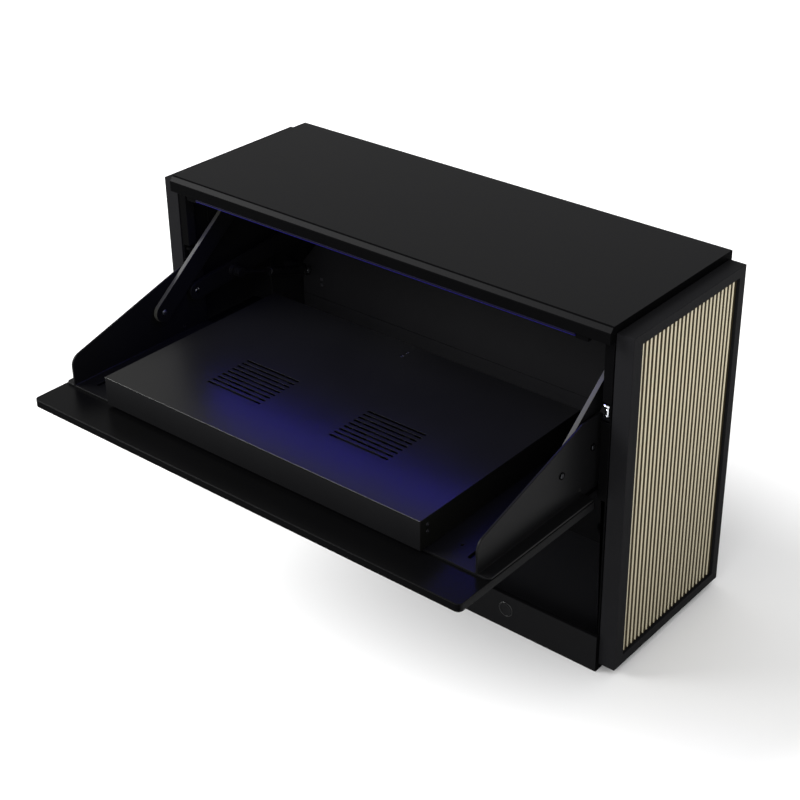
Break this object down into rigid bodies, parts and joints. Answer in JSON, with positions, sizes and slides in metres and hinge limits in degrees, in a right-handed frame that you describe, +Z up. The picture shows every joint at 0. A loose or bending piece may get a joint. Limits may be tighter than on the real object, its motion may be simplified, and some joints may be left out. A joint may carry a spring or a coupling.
{
  "type": "wall cabinet with fold-down projector shelf",
  "caption": "Wide black sheet-steel cabinet with reeded end panels, a lit front lip and a fold-down shelf on links that carries a ventilated projector tray",
  "frame": {"origin": "middle of the shell's underside, halfway between its front and back faces, ends without the flap", "axes": "X along the cabinet to its right end as seen from the front, Y from the front to the back, Z up"},
  "size_m": [1, 0.7025, 0.6425],
  "materials": {
    "black_steel": "black satin powder coat on folded sheet steel",
    "cream_reeds": "cream lacquer on half-round reeds",
    "batten_wood": "plain softwood",
    "dark_steel": "dark grey paint on steel",
    "channel_metal": "anodised extrusion",
    "board_white": "white circuit board",
    "blue_lens": "lit blue-violet lens",
    "black_plastic": "moulded black plastic",
    "bezel_metal": "black gloss ring",
    "bright_pins": "polished and plated steel",
    "bolt_steel": "zinc-plated steel",
    "black_rubber": "soft black rubber",
    "bush_plastic": "grey nylon"
  },
  "bodies": {
    "cabinet": {"top_cover": "black_steel", "base_shell": "black_steel", "side_wall_left": "black_steel", "side_wall_right": "black_steel", "end_frame_left": "black_steel", "end_frame_right": "black_steel", "reed_panel_left": "cream_reeds", "reed_panel_right": "cream_reeds", "panel_battens": "batten_wood", "lower_back_panel": "black_steel", "upper_back_panel": "black_steel", "rear_cover": "black_steel", "wall_rails": "dark_steel", "light_channel": "channel_metal", "light_board": "board_white", "light_lens": "blue_lens", "light_end_caps": "black_plastic", "front_pivot_brackets": "black_steel", "rear_pivot_brackets": "black_steel", "ground_pins": "bright_pins", "catch_pins": "bright_pins", "cable_grommet": "black_rubber", "button_bezel": "bezel_metal", "button_switch": "black_plastic", "control_box": "black_plastic", "power_inlet": "black_plastic", "cabinet_screws": "bright_pins"},
    "power_button": {"power_button": "black_plastic"},
    "flap": {"flap_pan": "black_steel", "flap_liner": "black_steel", "flap_ribs": "dark_steel", "flap_bracket_left": "black_steel", "flap_bracket_right": "black_steel", "flap_pins": "bright_pins", "pivot_bushes": "bush_plastic", "flap_bolts": "bolt_steel", "tray_cover": "black_steel", "tray_base": "black_steel", "tray_pads": "black_rubber", "tray_screws": "bright_pins", "fan_frame_left": "black_plastic", "fan_frame_right": "black_plastic"},
    "fan_rotor_left": {"fan_rotor_left": "black_plastic"},
    "fan_rotor_right": {"fan_rotor_right": "black_plastic"},
    "front_link_left": {"front_link_left": "black_steel"},
    "front_link_right": {"front_link_right": "black_steel"},
    "rear_link_left": {"rear_link_left": "black_steel", "rear_link_stud_left": "bright_pins"},
    "rear_link_right": {"rear_link_right": "black_steel", "rear_link_stud_right": "bright_pins"},
    "strut_tube_left": {"strut_tube_left": "black_steel"},
    "strut_tube_right": {"strut_tube_right": "black_steel"},
    "strut_rod_left": {"strut_rod_left": "bright_pins"},
    "strut_rod_right": {"strut_rod_right": "bright_pins"}
  },
  "joints": [
    {"name": "flap_lift", "type": "hinge", "parent": "cabinet", "child": "front_link_left", "pos_m": [-0.4315, -0.0735, 0.557], "axis": [1, 0, 0], "range_deg": [0, 45]},
    {"name": "front_link_right_pivot", "type": "hinge", "parent": "cabinet", "child": "front_link_right", "pos_m": [0.4315, -0.0735, 0.557], "axis": [1, 0, 0], "range_deg": [0, 45]},
    {"name": "flap_turn", "type": "hinge", "parent": "front_link_left", "child": "flap", "pos_m": [-0.4315, -0.2545, 0.415], "axis": [1, 0, 0], "range_deg": [-135, 0]},
    {"name": "rear_link_left_pivot", "type": "hinge", "parent": "cabinet", "child": "rear_link_left", "pos_m": [-0.4315, 0.1165, 0.45065], "axis": [1, 0, 0], "range_deg": [0, 39.94]},
    {"name": "rear_link_right_pivot", "type": "hinge", "parent": "cabinet", "child": "rear_link_right", "pos_m": [0.4315, 0.1165, 0.45065], "axis": [1, 0, 0], "range_deg": [0, 39.94]},
    {"name": "strut_left_pivot", "type": "hinge", "parent": "cabinet", "child": "strut_tube_left", "pos_m": [-0.412, 0.0975, 0.373], "axis": [1, 0, 0], "range_deg": [0, 45.79]},
    {"name": "strut_right_pivot", "type": "hinge", "parent": "cabinet", "child": "strut_tube_right", "pos_m": [0.412, 0.0975, 0.373], "axis": [1, 0, 0], "range_deg": [0, 45.79]},
    {"name": "strut_left_rod", "type": "slide", "parent": "strut_tube_left", "child": "strut_rod_left", "axis": [0, -0.9443, 0.329], "range_m": [-0.05217, 0]},
    {"name": "strut_right_rod", "type": "slide", "parent": "strut_tube_right", "child": "strut_rod_right", "axis": [0, -0.9443, 0.329], "range_m": [-0.05217, 0]},
    {"name": "fan_left_spin", "type": "hinge", "parent": "flap", "child": "fan_rotor_left", "pos_m": [-0.137, -0.324, 0.391], "axis": [0, 0, 1], "continuous": true},
    {"name": "fan_right_spin", "type": "hinge", "parent": "flap", "child": "fan_rotor_right", "pos_m": [0.137, -0.324, 0.391], "axis": [0, 0, 1], "continuous": true},
    {"name": "power_press", "type": "slide", "parent": "cabinet", "child": "power_button", "axis": [0, 1, 0], "range_m": [0, 0.0015], "stiffness_N_per_m": 600}
  ],
  "couplings": [
    {"joint": "front_link_right_pivot", "follows": "flap_lift", "ratio": 1},
    {"joint": "flap_turn", "follows": "flap_lift", "ratio": -3},
    {"joint": "rear_link_left_pivot", "follows": "flap_lift", "ratio": 0.88753},
    {"joint": "rear_link_right_pivot", "follows": "flap_lift", "ratio": 0.88753},
    {"joint": "strut_left_pivot", "follows": "flap_lift", "ratio": 1.0175},
    {"joint": "strut_right_pivot", "follows": "flap_lift", "ratio": 1.0175},
    {"joint": "strut_left_rod", "follows": "flap_lift", "m_per_rad": -0.06642},
    {"joint": "strut_right_rod", "follows": "flap_lift", "m_per_rad": -0.06642}
  ]
}
